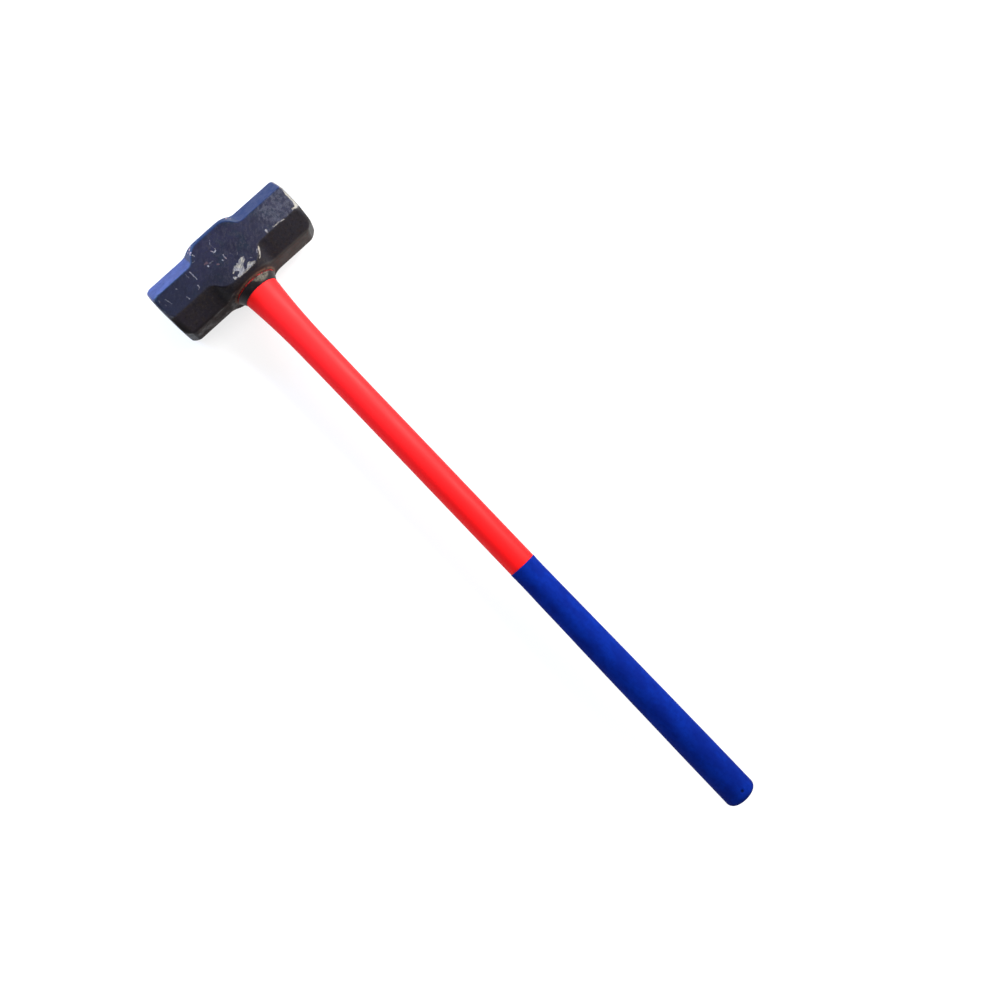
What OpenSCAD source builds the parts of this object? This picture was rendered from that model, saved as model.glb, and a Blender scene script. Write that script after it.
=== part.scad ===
// Long-handled sledgehammer: an octagonal forged steel head bonded to a
// fibreglass core, with a moulded jacket and a rubber grip over the core.
// It lies on one cheek of the head.  The origin is the middle of that cheek,
// +X runs down the handle to the grip, +Y runs to one striking face, +Z is up.

/* [Head] */
// Length of the head from one striking face to the other
head_l = 199; // [170:1:215]
// Width of the head across opposite flats
head_w = 73; // [66:1:78]
// Leg of the long 45 degree chamfers that make the ends octagonal
chamfer = 21.4; // [19.5:0.1:23]
// Edge radius of the full square block in the middle of the head
block_edge_r = 8; // [3:0.5:8.5]
// Half length of the block's level top, before its edges start to fall away
block_half = 14.5; // [12:0.5:18]
// Radius at which the block's edges fall away towards the chamfers
shoulder_r = 23; // [20:1:26]
// Slope between the shoulder and the hollow that ends it, in degrees
runout_slope = 45; // [40:1:46]
// Bevel round the edge of each striking face
face_bevel = 4; // [2:0.5:6]
// Radius to which the corners of the striking faces are ground
face_corner_r = 35.6; // [33:0.1:38]
// Radius of the slight crown on the striking faces
crown_r = 500; // [350:10:900]

/* [Eye] */
// Radius of the raised boss on the handle side of the eye
boss_r = 29; // [27:0.5:30]
// Height of that boss above the head's underside
boss_h = 1.7; // [1:0.1:4]
// Radius of the eye at its handle end
eye_r = 17; // [16:0.5:19]
// Radius of the eye at its far end, larger so that the bond locks as a wedge
eye_top_r = 19.5; // [18.5:0.5:21.5]
// Depth of the far end of the bond below the top of the head
bond_sink = 0.8; // [0.4:0.1:1.5]

/* [Handle] */
// Overall length, from the top of the head to the end of the grip
overall_l = 900; // [800:5:950]
// Radius of the fibreglass core
core_r = 13.5; // [12:0.5:14]
// Radius of the jacket along the parallel middle of the handle
shaft_r = 17.6; // [17:0.1:18.8]
// Radius of the jacket's neck, just below the collar
neck_r = 22.8; // [21.5:0.1:24.5]
// Thickness of the jacket's flange against the boss
flange_t = 1.6; // [1.2:0.1:2.4]
// Radius of that flange and of the collar where they meet
flange_r = 27.8; // [26:0.1:28]
// Distance from the head's underside to the jacket's visible neck
collar_gap = 11.5; // [10:0.1:16]

/* [Grip] */
// Length of the grip
grip_l = 374; // [300:2:420]
// Largest radius of the grip, near its end
grip_r = 20; // [19:0.1:22]
// Radius of the jacket under the grip
tail_r = 15.5; // [15:0.1:16]
// Rubber between the end of the core and the end of the grip
butt_t = 8; // [5:0.5:12]
// Edge radius at the end of the grip
butt_edge_r = 7; // [4:0.5:9]

/* [Hidden] */

h = head_w / 2;                     // half width of the head
top_x = -h;                         // top of the head, where the eye comes out
under_x = h;                        // underside of the head
boss_x = h + boss_h;                // face of the boss
collar_x = boss_x + flange_t;       // start of the collar
neck_x = h + collar_gap;            // start of the visible neck
end_x = overall_l - h;              // end of the grip
grip_x = end_x - grip_l;            // start of the grip
core_end_x = end_x - butt_t;        // lower end of core and jacket
core_top_x = top_x + 4;             // upper end of the core, inside the bond
seat_x = boss_x - 6.3;              // bottom of the gasket's seat
taper_end_x = neck_x + 93;          // where the flared neck meets the shaft
slim_x = neck_x + 165;              // where the parallel shaft starts
slim_step = 0.35;                   // the last slight taper above the shaft

// distance of the chamfer planes from the head's centre line
d_oct = (head_w - chamfer) / sqrt(2);
// distance of the block's eased edges from the same line
d_block = (h - block_edge_r) * sqrt(2) + block_edge_r - 0.8;
// run-out: a convex shoulder, then a hollow that meets the chamfer plane
drop_shoulder = shoulder_r * (1 - cos(runout_slope));
hollow_r = (d_block - d_oct - drop_shoulder) / (1 - cos(runout_slope));
y2 = block_half + shoulder_r * sin(runout_slope);
y3 = y2 + hollow_r * sin(runout_slope);

$fn = 96;

// places a part that is drawn about the handle's own axis
module on_axis() { translate([0, 0, h]) children(); }

// turns a 2-D profile (radius, distance along the handle) about the handle's axis
module turned() { rotate([0, 90, 0]) rotate_extrude() children(); }

// quarter outline of the head at 45 degrees: first axis along the head, second
// axis out to the block's edge or to the chamfer plane
module runout_quarter() {
  difference() {
    union() {
      // down to the chamfer plane, with the bevel of the striking face
      polygon([[0, 0], [head_l / 2, 0], [head_l / 2, d_oct - face_bevel],
               [head_l / 2 - face_bevel, d_oct], [0, d_oct]]);
      // under the shoulder, the slope and the hollow
      polygon([[0, 0], [y3, 0], [y3, d_oct], [y2, d_block - drop_shoulder],
               [block_half, d_block - shoulder_r], [block_half, d_block], [0, d_block]]);
      // the shoulder
      intersection() {
        translate([block_half, d_block - shoulder_r]) circle(r = shoulder_r, $fn = 360);
        polygon([[block_half, d_block - shoulder_r], [block_half, d_block + 1],
                 [block_half + 2 * shoulder_r * sin(runout_slope / 2),
                  d_block - shoulder_r + 2 * shoulder_r * cos(runout_slope / 2)],
                 [block_half + 2 * shoulder_r * sin(runout_slope),
                  d_block - shoulder_r + 2 * shoulder_r * cos(runout_slope)]]);
      }
    }
    // the hollow
    intersection() {
      translate([y3, d_oct + hollow_r]) circle(r = hollow_r, $fn = 360);
      polygon([[y3, d_oct], [y2, d_block - drop_shoulder],
               [y3, d_oct + hollow_r], [y3 + 1, d_oct + hollow_r], [y3 + 1, d_oct]]);
    }
  }
}

module runout_outline() {
  for (a = [0, 1], b = [0, 1]) mirror([a, 0]) mirror([0, b]) runout_quarter();
}

// outline of the head over one pair of flats, with the bevels of the faces
module flat_outline() {
  b = face_bevel;
  l = head_l / 2;
  polygon([[-l, -h + b], [-l + b, -h], [l - b, -h], [l, -h + b],
           [l, h - b], [l - b, h], [-l + b, h], [-l, h - b]]);
}

// square section with the block's rounded edges
module block_section() {
  s = h - block_edge_r;
  square([head_w, 2 * s], center = true);
  square([2 * s, head_w], center = true);
  for (x = [-s, s], y = [-s, s]) translate([x, y]) circle(r = block_edge_r, $fn = 120);
}

module head_blank() {
  intersection() {
    // section across the head
    rotate([90, 0, 0]) linear_extrude(head_l + 2, center = true) block_section();
    // flats seen from above and from the handle's end
    rotate([0, 0, 90]) linear_extrude(head_w + 2, center = true) flat_outline();
    rotate([0, 90, 0]) rotate([0, 0, 90]) linear_extrude(head_w + 2, center = true) flat_outline();
    // the four long chamfers and their run-outs
    rotate([0, 45, 0]) rotate([0, 0, 90]) linear_extrude(2 * head_w, center = true) runout_outline();
    rotate([0, -45, 0]) rotate([0, 0, 90]) linear_extrude(2 * head_w, center = true) runout_outline();
    // ground corners of the striking faces
    rotate([-90, 0, 0]) rotate_extrude()
      polygon([[0, -head_l / 2], [face_corner_r, -head_l / 2],
               [face_corner_r + 30, -head_l / 2 + 60], [face_corner_r + 30, head_l / 2 - 60],
               [face_corner_r, head_l / 2], [0, head_l / 2]]);
    // crowned striking faces
    translate([0, head_l / 2 - crown_r, 0]) sphere(r = crown_r, $fn = 300);
    translate([0, crown_r - head_l / 2, 0]) sphere(r = crown_r, $fn = 300);
  }
}

// forged steel head with a raised boss and a tapered eye
module sledge_head() {
  color("#2b2d42") on_axis() difference() {
    union() {
      head_blank();
      turned() polygon([[0, under_x - 20], [boss_r, under_x - 20], [boss_r, boss_x - 0.8],
                        [boss_r - 0.8, boss_x], [0, boss_x]]);
    }
    turned() polygon([[0, top_x - 1], [eye_top_r + 2.5, top_x - 1], [eye_top_r + 1.5, top_x],
                      [eye_top_r, top_x + 1.5], [eye_r, seat_x], [eye_r, boss_x + 1],
                      [0, boss_x + 1]]);
  }
}

// cast epoxy that fills the eye round the core and covers the core's end
module eye_resin() {
  color("#3a3226") on_axis() turned()
    polygon([[0, top_x + bond_sink], [eye_top_r - 1, top_x + bond_sink + 0.2],
             [eye_top_r + 1.5 - bond_sink, top_x + bond_sink],
             [eye_top_r, top_x + 1.5], [eye_r, seat_x], [core_r, seat_x],
             [core_r, core_top_x], [0, core_top_x]]);
}

// rubber ring that closes the eye while the bond is poured
module eye_gasket() {
  color("#1c1c1e") on_axis() turned()
    polygon([[core_r, seat_x], [eye_r, seat_x], [eye_r, boss_x], [core_r, boss_x]]);
}

// solid pultruded fibreglass rod, from inside the bond to the end of the jacket
module handle_core() {
  color("#c9c3a5") on_axis() turned()
    polygon([[0, core_top_x], [core_r, core_top_x], [core_r, core_end_x], [0, core_end_x]]);
}

// radius of the jacket: a long flare out to the neck, a slight taper, then parallel
function flare_r(x) = shaft_r + slim_step
  + (neck_r - shaft_r - slim_step) * pow((taper_end_x - x) / (taper_end_x - neck_x), 2);

// moulded jacket with a flange against the boss, a groove for the collar
// and a thinner tail under the grip
module handle_jacket() {
  steps = 16;
  step = (taper_end_x - neck_x) / steps;
  color("#ff2323") on_axis() turned()
    polygon(concat(
      [[core_r, boss_x], [flange_r - 0.5, boss_x], [flange_r, boss_x + 0.5],
       [flange_r, collar_x], [neck_r - 2, collar_x],
       [neck_r - 2, neck_x], [flare_r(neck_x) - 0.3, neck_x]],
      [for (i = [0 : steps]) [flare_r(neck_x + i * step + (i == 0 ? 0.3 : 0)),
                              neck_x + i * step + (i == 0 ? 0.3 : 0)]],
      [[shaft_r, slim_x], [shaft_r, grip_x - 0.3], [shaft_r - 0.3, grip_x], [tail_r, grip_x],
       [tail_r, core_end_x], [core_r, core_end_x]]));
}

// radius of the collar, a slightly full taper from the flange to the neck
function collar_r(x) = neck_r + 0.25
  + (flange_r - neck_r - 0.25) * ((neck_x - x) / (neck_x - collar_x));

// black neck collar that fills the jacket's groove
module neck_collar() {
  steps = 10;
  step = (neck_x - collar_x) / steps;
  color("#141418") on_axis() turned()
    polygon(concat(
      [[neck_r - 2, collar_x], [flange_r - 0.3, collar_x], [flange_r, collar_x + 0.3]],
      [for (i = [1 : steps]) [collar_r(collar_x + i * step), collar_x + i * step]],
      [[neck_r - 2, neck_x]]));
}

// radius of the grip: level at first, then swelling towards the end
function swell_r(u) = (shaft_r + 0.1) + (grip_r - shaft_r - 0.1) * (1 - pow(1 - u, 1.45));

// rubber grip, closed at the end, moulded over the jacket's tail
module grip_sleeve() {
  steps = 22;
  x0 = grip_x + 16;
  x1 = end_x - butt_edge_r;
  step = (x1 - x0) / steps;
  e = butt_edge_r;
  color("#0044a8") on_axis() turned() difference() {
    union() {
      polygon(concat(
        [[0, grip_x], [shaft_r - 0.1, grip_x], [shaft_r + 0.3, grip_x + 0.4]],
        [for (i = [0 : steps]) [swell_r(i / steps), x0 + i * step]],
        [[grip_r - e, x1], [grip_r - e, end_x], [0, end_x]]));
      intersection() {
        translate([grip_r - e, x1]) circle(r = e, $fn = 120);
        translate([grip_r - e, x1]) square(2 * e);
      }
    }
    translate([-1, grip_x - 1]) square([tail_r + 1, core_end_x - grip_x + 1]);
  }
}

sledge_head();
eye_resin();
eye_gasket();
handle_core();
handle_jacket();
neck_collar();
grip_sleeve();
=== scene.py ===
"""Long-handled sledgehammer: the looks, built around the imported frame.

Lengths below are in millimetres about the handle's axis (x down the handle, y along the head,
z up), as the CAD part is drawn, and at() turns them into the row frame in metres.
"""
import math

import bpy
import numpy as np
from mathutils import Matrix, Vector, noise


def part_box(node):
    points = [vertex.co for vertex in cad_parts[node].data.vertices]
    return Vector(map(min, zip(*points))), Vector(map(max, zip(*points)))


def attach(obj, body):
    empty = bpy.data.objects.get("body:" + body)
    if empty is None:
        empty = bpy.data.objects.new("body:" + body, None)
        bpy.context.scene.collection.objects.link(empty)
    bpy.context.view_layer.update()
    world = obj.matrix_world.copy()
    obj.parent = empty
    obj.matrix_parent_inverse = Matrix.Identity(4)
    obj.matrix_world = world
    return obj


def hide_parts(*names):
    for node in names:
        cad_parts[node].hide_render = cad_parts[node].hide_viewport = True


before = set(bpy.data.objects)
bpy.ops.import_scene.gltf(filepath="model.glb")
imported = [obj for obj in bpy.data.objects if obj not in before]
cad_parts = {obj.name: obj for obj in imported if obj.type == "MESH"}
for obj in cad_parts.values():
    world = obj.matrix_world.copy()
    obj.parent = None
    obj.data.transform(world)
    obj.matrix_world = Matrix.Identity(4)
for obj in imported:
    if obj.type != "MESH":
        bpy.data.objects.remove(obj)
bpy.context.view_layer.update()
scene = bpy.context.scene

# ------------------------------------------------------------------ sizes from the frame
_lo, _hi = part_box("sledge_head")
H = (_hi.z - _lo.z) * 500.0          # half width of the head
L2 = (_hi.y - _lo.y) * 500.0         # half length of the head over its crowned faces
AXIS_Z = H                           # height of the handle's axis
UNDER_X = H
BOSS_X = _hi.x * 1000.0
_lo, _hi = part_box("handle_jacket")
FLANGE_R = (_hi.z - _lo.z) * 500.0
CORE_END_X = _hi.x * 1000.0
_lo, _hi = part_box("neck_collar")
COLLAR_X0, NECK_X = _lo.x * 1000.0, _hi.x * 1000.0
_lo, _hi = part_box("grip_sleeve")
GRIP_X, END_X = _lo.x * 1000.0, _hi.x * 1000.0
GRIP_R = (_hi.z - _lo.z) * 500.0
_lo, _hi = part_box("handle_core")
CORE_R = (_hi.z - _lo.z) * 500.0
CORE_TOP_X = _lo.x * 1000.0
SHAFT_R, NECK_R, TAIL_R = 17.6, 22.8, 15.5
CHAMFER, BEVEL, BLOCK_R, BLOCK_HALF, SHOULDER_R, SLOPE = 21.4, 4.0, 8.0, 14.5, 23.0, 45.0
CORNER_R, CROWN_R, BOSS_R = 35.6, 500.0, 29.0
EYE_R, EYE_TOP_R, BOND_SINK = 17.0, 19.5, 0.8
SEAT_X = BOSS_X - 6.3


def at(points):
    """Axis millimetres to row-frame metres."""
    p = np.array(points, float).reshape(-1, 3) * 0.001
    p[:, 2] += AXIS_Z * 0.001
    return p


# ------------------------------------------------------------------ camera
cam_data = bpy.data.cameras.new("view_camera")
cam_data.sensor_width = 36.0
cam_data.sensor_fit = "HORIZONTAL"
cam_data.lens = 36.0 * 0.93234
cam_data.clip_start = 0.05
cam_data.clip_end = 20.0
camera = bpy.data.objects.new("view_camera", cam_data)
right = Vector((0.6910473, 0.7203048, 0.0601221))
down = Vector((0.7228096, -0.6886604, -0.0573865))
ahead = Vector((0.0000679, 0.0831136, -0.9965401))
place = Vector((0.41648, -0.057079, 1.091022 + AXIS_Z * 0.001))
camera.matrix_world = Matrix((
    (right.x, -down.x, -ahead.x, place.x),
    (right.y, -down.y, -ahead.y, place.y),
    (right.z, -down.z, -ahead.z, place.z),
    (0.0, 0.0, 0.0, 1.0)))
scene.collection.objects.link(camera)
scene.camera = camera


# ------------------------------------------------------------------ small tools
def fbm(points, size, seed=0.0, octaves=1):
    """Smooth noise, about -1 to 1, whose features are `size` millimetres across."""
    out = np.zeros(len(points))
    amp, total = 1.0, 0.0
    for o in range(octaves):
        q = np.asarray(points) / size * (2 ** o) + seed + 17.3 * o
        out += amp * np.array([noise.noise(Vector(v)) for v in q.tolist()])
        total += amp
        amp *= 0.5
    return out / total


def smax(a, b, k):
    h = np.maximum(k - np.abs(a - b), 0.0) / k
    return np.maximum(a, b) + h * h * k * 0.25


def smin(a, b, k):
    return -smax(-a, -b, k)


def new_mesh(name, verts, faces):
    me = bpy.data.meshes.new(name)
    me.from_pydata([tuple(v) for v in verts], [], faces)
    me.update()
    ob = bpy.data.objects.new(name, me)
    scene.collection.objects.link(ob)
    return ob


def smooth(ob):
    ob.data.polygons.foreach_set("use_smooth", [True] * len(ob.data.polygons))
    ob.data.update()


def put_attribute(ob, name, values):
    a = ob.data.attributes.new(name, "FLOAT", "POINT")
    a.data.foreach_set("value", np.asarray(values, np.float32))


def filleted(points):
    """Profile points (x, r, fillet radius) to a fine polyline with rounded corners."""
    n = len(points)
    out = []
    for i, (x, r, f) in enumerate(points):
        p = np.array((x, r), float)
        if f <= 0 or i in (0, n - 1):
            out.append(p)
            continue
        a = np.array(points[i - 1][:2], float) - p
        b = np.array(points[i + 1][:2], float) - p
        la, lb = np.linalg.norm(a), np.linalg.norm(b)
        a, b = a / la, b / lb
        half = math.acos(max(-1.0, min(1.0, float(a @ b)))) / 2
        cut = min(f / math.tan(half), 0.49 * la, 0.49 * lb)
        rad = cut * math.tan(half)
        centre = p + (a + b) / np.linalg.norm(a + b) * (rad / math.sin(half))
        v0, v1 = p + a * cut - centre, p + b * cut - centre
        turn = math.atan2(v0[0] * v1[1] - v0[1] * v1[0], float(v0 @ v1))
        steps = max(3, int(abs(turn) / math.radians(12)))
        for s in range(steps + 1):
            t = turn * s / steps
            out.append(centre + np.array((v0[0] * math.cos(t) - v0[1] * math.sin(t),
                                          v0[0] * math.sin(t) + v0[1] * math.cos(t))))
    return out


def resampled(path, step, closed=False):
    pts = [np.array(p, float) for p in path]
    if closed:
        pts.append(pts[0])
    out = []
    for a, b in zip(pts[:-1], pts[1:]):
        n = max(1, int(math.ceil(np.linalg.norm(b - a) / step)))
        out += [a + (b - a) * i / n for i in range(n)]
    if not closed:
        out.append(pts[-1])
    return out


def turned(name, path, segments, closed=False):
    """A solid turned about the handle's axis from a polyline (x, r), as verts in mm and faces."""
    verts, rings = [], []
    for x, r in path:
        if r < 1e-6:
            rings.append([len(verts)])
            verts.append((x, 0.0, 0.0))
        else:
            rings.append(list(range(len(verts), len(verts) + segments)))
            for k in range(segments):
                t = 2 * math.pi * k / segments
                verts.append((x, r * math.sin(t), r * math.cos(t)))
    faces = []
    pairs = list(zip(rings[:-1], rings[1:]))
    if closed:
        pairs.append((rings[-1], rings[0]))
    for a, b in pairs:
        for k in range(segments):
            m = (k + 1) % segments
            if len(a) == 1 and len(b) == 1:
                continue
            if len(a) == 1:
                faces.append((a[0], b[m], b[k]))
            elif len(b) == 1:
                faces.append((a[k], a[m], b[0]))
            else:
                faces.append((a[k], a[m], b[m], b[k]))
    return np.array(verts), faces


def made(name, verts, faces):
    """The piece's object, with its faces turned outwards."""
    v = at(verts)
    ob = new_mesh(name, v, faces)
    tri = np.array([f[:3] for f in faces] + [(f[0], f[2], f[3]) for f in faces if len(f) == 4])
    if np.einsum("ij,ij->i", v[tri[:, 0]], np.cross(v[tri[:, 1]], v[tri[:, 2]])).sum() < 0:
        ob.data.flip_normals()
    smooth(ob)
    return ob


# ------------------------------------------------------------------ forged head
D_OCT = (2 * H - CHAMFER) / math.sqrt(2)
D_BLOCK = (H - BLOCK_R) * math.sqrt(2) + BLOCK_R - 0.8
SN, CS = math.sin(math.radians(SLOPE)), math.cos(math.radians(SLOPE))
DROP = SHOULDER_R * (1 - CS)
HOLLOW_R = (D_BLOCK - D_OCT - DROP) / (1 - CS)
Y2 = BLOCK_HALF + SHOULDER_R * SN
Y3 = Y2 + HOLLOW_R * SN


def runout(x, y):
    """Distance of the head's diagonal outline from its centre line, and its slope.

    The forging isn't quite even: the block reaches a little further on the -Y side, and a
    little further towards the top of the head.
    """
    more = np.where(y < 0, 3.0, -1.4) - 0.9 * np.clip(x / 20.0, -0.3, 1)
    ay = np.abs(y) - more * np.clip(np.abs(y) / 12.0, 0, 1)
    d = np.full(ay.shape, D_OCT)
    g = np.zeros(ay.shape)
    m = ay <= BLOCK_HALF
    d[m] = D_BLOCK
    m = (ay > BLOCK_HALF) & (ay <= Y2)
    u = ay[m] - BLOCK_HALF
    s = np.sqrt(SHOULDER_R ** 2 - u * u)
    d[m] = D_BLOCK - SHOULDER_R + s
    g[m] = -u / s
    m = (ay > Y2) & (ay < Y3)
    u = Y3 - ay[m]
    s = np.sqrt(HOLLOW_R ** 2 - u * u)
    d[m] = D_OCT + HOLLOW_R - s
    g[m] = -u / s
    t = np.clip((np.abs(ay) - 8) / 16, 0, 1)
    d += 0.8 * (1 - t * t * (3 - 2 * t))
    return d, g


rng = np.random.default_rng(7)


def dent_list():
    """Small dents: on the rims of the striking faces, on the faces and scattered on the flats."""
    out = []
    for side in (-1, 1):
        for i in range(17):                      # nicks along the rim
            t = rng.uniform(0, 2 * math.pi)
            r = rng.uniform(33.4, 34.6)
            size = rng.uniform(1.9, 4.2)
            depth = rng.uniform(0.20, 0.60)
            c = np.array((r * math.cos(t), side * (L2 - 1.5), r * math.sin(t)))
            n = np.array((math.cos(t), side * 1.0, math.sin(t))) / math.sqrt(2)
            out.append((c + n * (size * 1.6 - depth + 0.7), size * 1.6))
        for i in range(26):                      # on the face
            t, r = rng.uniform(0, 2 * math.pi), 30 * math.sqrt(rng.uniform(0, 1))
            size = rng.uniform(2.5, 7.0)
            depth = rng.uniform(0.08, 0.3)
            c = np.array((r * math.cos(t), side * (L2 - r * r / (2 * CROWN_R)), r * math.sin(t)))
            out.append((c + np.array((0, side * (size - depth), 0)), size))
    for i in range(34):                          # on the flats
        ax, sg = rng.integers(0, 2), rng.choice((-1, 1))
        a, y = rng.uniform(-17, 17), rng.uniform(-88, 88)
        size, depth = rng.uniform(3.2, 7.5), rng.uniform(0.08, 0.26)
        if ax and math.hypot(y, a) < (BOSS_R if sg > 0 else EYE_TOP_R) + size + 4:
            continue                             # none at the boss or the eye
        c = np.array((sg * H, y, a)) if ax else np.array((a, y, sg * H))
        n = c * np.array((1, 0, 0)) if ax else c * np.array((0, 0, 1))
        n = n / np.linalg.norm(n)
        out.append((c + n * (size - depth), size))
    return out


DENTS = dent_list()


def head_parts(p):
    """The head's separate surfaces as distances in millimetres, negative inside."""
    x, y, z = p[:, 0], p[:, 1], p[:, 2]
    ax, ay, az = np.abs(x), np.abs(y), np.abs(z)
    qx, qz = ax - (H - BLOCK_R), az - (H - BLOCK_R)
    flats = (np.hypot(np.maximum(qx, 0), np.maximum(qz, 0)) + np.minimum(np.maximum(qx, qz), 0)
             - BLOCK_R)
    diag = (ax + az) / math.sqrt(2)
    d, g = runout(x, y)
    long_chamfer = (diag - d) / np.sqrt(1 + g * g) - 0.35
    rho = np.hypot(x, z)
    crown = np.hypot(rho, ay - (L2 - CROWN_R)) - CROWN_R
    rim = np.maximum(np.maximum(ax, az) - H + ay - L2 + BEVEL, diag - D_OCT + ay - L2 + BEVEL)
    rim = rim / math.sqrt(2) - 0.25
    # the rims are knocked back on the handle's side
    rim = smax(rim, 0.848 * (x - H) + 0.53 * (ay - L2 + np.where(y < 0, 10.9, 11.8)), 3.5)
    ground = 0.894427 * (rho - CORNER_R) + 0.447214 * (ay - L2)
    ground = ground - np.where((x < 0) & (y > 0), 1.1, 0.35) * np.clip(-x / 10.0, 0.3, 1)
    # the -Y face is worn a little out of square, more towards the handle
    crown = crown + np.where(y < 0, np.clip((x + 14.0) / 40.0, 0, 1.2), 0.0)
    return flats, long_chamfer, crown, rim, ground


def dents_near(p):
    """For each dent, the points close enough to feel it."""
    return [(c, size, np.nonzero(np.abs(p - c).max(1) < size + 3.5)[0]) for c, size in DENTS]


def head_field(p, dents):
    flats, long_chamfer, crown, rim, ground = head_parts(p)
    body = smax(flats, long_chamfer, 1.5)
    body = smax(body, rim, 1.3)
    body = smax(body, ground, 1.3)
    body = smax(body, crown, 1.1)
    x, y, z = p[:, 0], p[:, 1], p[:, 2]
    r = np.hypot(y, z)
    # forged boss, with a soft foot
    boss = smax(r - BOSS_R, x - BOSS_X, 2.2)
    boss = np.maximum(boss, UNDER_X - 24 - x)
    body = smin(body, boss, 3.2)
    # slight unevenness of the forging, inwards only
    body = body + 0.11 * (0.5 + 0.5 * UNEVEN(p))
    for c, size, near in dents:
        d = size - np.sqrt(((p[near] - c) ** 2).sum(1))
        body[near] = smax(body[near], d, 0.5)
    # tapered eye with a chamfer at its far end
    wide = np.interp(x, (-H - 1, -H, -H + 1.5, SEAT_X), (EYE_TOP_R + 2.5, EYE_TOP_R + 1.5, EYE_TOP_R, EYE_R))
    return smax(body, wide - r, 0.9)


def UNEVEN(p):
    """Cheap smooth bumps, two sizes, from sines with no common period."""
    x, y, z = p[:, 0], p[:, 1], p[:, 2]
    a = np.sin(x / 5.1 + 1.3 * np.sin(y / 7.9 + 0.4)) * np.sin(y / 6.3 + 1.1 * np.sin(z / 6.1 + 2.0))
    b = np.sin(z / 4.7 + 0.9 * np.sin(x / 6.7 + 1.0)) * np.sin(y / 3.7 + z / 9.0)
    return np.clip(0.6 * a + 0.4 * b, -1, 1)


def head_gradient(p, f, dents):
    e = 0.02
    g = np.empty_like(p)
    for k in range(3):
        q = p.copy()
        q[:, k] += e
        g[:, k] = (head_field(q, dents) - f) / e
    return g


def capsule(p, a, b, half):
    """Distance in the plane to a stroke from a to b."""
    a, b = np.array(a, float), np.array(b, float)
    ab = b - a
    t = np.clip(((p - a) @ ab) / max(float(ab @ ab), 1e-9), 0, 1)
    return np.sqrt(((p - a - t[:, None] * ab) ** 2).sum(1)) - half


# bare patches on the upper cheek: outlines, in millimetres
PATCHES = [
    [(15.9, 12.1), (18.4, 10.4), (19.3, 10.4), (18.9, 13.0), (20.0, 11.5), (20.5, 8.9), (21.8, 6.4), (23.8, 4.3),
     (26.0, 3.1), (28.6, 2.0), (28.4, 4.4), (27.9, 5.9), (25.9, 8.0), (24.5, 10.0), (24.4, 12.0), (26.2, 14.0),
     (27.6, 16.6), (28.8, 18.2), (30.6, 16.1), (31.0, 10.8), (31.2, 5.4), (31.2, 0.4), (31.0, -3.6), (31.0, -7.6),
     (29.6, -9.4), (27.6, -8.5), (27.0, -5.6), (25.7, -3.5), (24.5, -4.1), (23.4, -5.3), (22.1, -7.5),
     (23.5, -10.1), (22.6, -11.1), (20.1, -8.8), (17.6, -5.2), (17.2, -3.6), (17.7, -0.9), (16.1, 0.2),
     (17.9, 1.5), (15.9, 4.3), (14.9, 7.4), (15.4, 10.1)],
    [(24.9, -13.2), (27.8, -10.3), (29.4, -9.2), (30.4, -12.0), (29.0, -14.2), (26.4, -14.2)],
    [(17.6, 32.1), (19.4, 32.2), (24.2, 29.9), (27.9, 26.8), (29.6, 23.6), (28.7, 22.6), (26.9, 25.6), (23.8, 27.6),
     (21.4, 28.9), (18.6, 30.6)],
]
# knocks near the edges: x1, y1, x2, y2, half width
CHIPS = [
    (-29.2, -29.8, -25.0, -31.6, 0.85), (13.2, 59.8, 15.1, 74.5, 0.79), (10.7, 50.7, 13.7, 50.3, 1.24),
    (12.8, 89.7, 14.3, 94.7, 1.36),
]
# fine scratches and pinholes on the upper cheek: x1, y1, x2, y2, half width, strength
STROKES = [
    (-11.1, -44.6, -0.1, -44.4, 0.58, 0.66), (6.0, -48.1, 9.2, -48.7, 0.62, 0.56), (9.2, -48.7, 10.2, -50.9, 0.45, 0.20),
    (-6.9, -68.8, -6.3, -68.5, 0.70, 0.50), (-6.4, -85.9, 2.0, -83.7, 0.34, 0.35), (7.1, -66.4, 9.0, -65.7, 0.34, 0.28),
    (9.8, -65.6, 11.2, -65.4, 0.74, 0.52), (-10.1, -92.3, -8.2, -92.6, 0.50, 0.20), (-1.8, -90.1, -0.6, -90.0, 0.50, 0.22),
    (-13.3, -50.0, -6.8, -50.3, 0.45, 0.17), (-3.0, -25.3, -1.8, -25.0, 0.72, 0.80), (-3.6, -22.1, -3.6, -17.3, 0.60, 0.20),
    (-22.6, -29.3, -21.6, -28.9, 0.55, 0.40), (-16.9, -32.3, -16.8, -35.3, 0.50, 0.24), (-23.7, -3.2, -19.0, -7.1, 0.42, 0.34),
    (-18.5, -6.5, -13.6, -6.3, 0.40, 0.10), (-12.5, -10.7, -9.5, -9.7, 0.66, 0.70), (-9.5, -9.7, -9.7, -7.1, 0.76, 0.85),
    (-9.7, -7.1, -12.0, -6.1, 0.46, 0.55), (-0.6, -4.1, 4.9, -4.5, 0.60, 0.62), (3.2, -8.8, 3.9, -8.5, 0.76, 0.60),
    (2.9, 3.1, 5.9, 4.0, 0.42, 0.16), (7.9, 9.8, 9.7, 8.1, 0.42, 0.20), (22.4, 16.4, 23.9, 17.5, 0.50, 0.30),
    (20.0, 28.3, 23.0, 26.0, 0.60, 0.50),
]
# rusty ones
RUSTY = [
    (-6.4, -26.1, -5.8, -23.4, 1.30, 0.30), (3.3, -15.7, 4.1, -15.0, 0.90, 0.35), (3.4, -4.4, 4.9, -4.5, 0.46, 0.60),
    (-13.2, -10.9, -12.0, -10.5, 0.50, 0.60),
]
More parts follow.
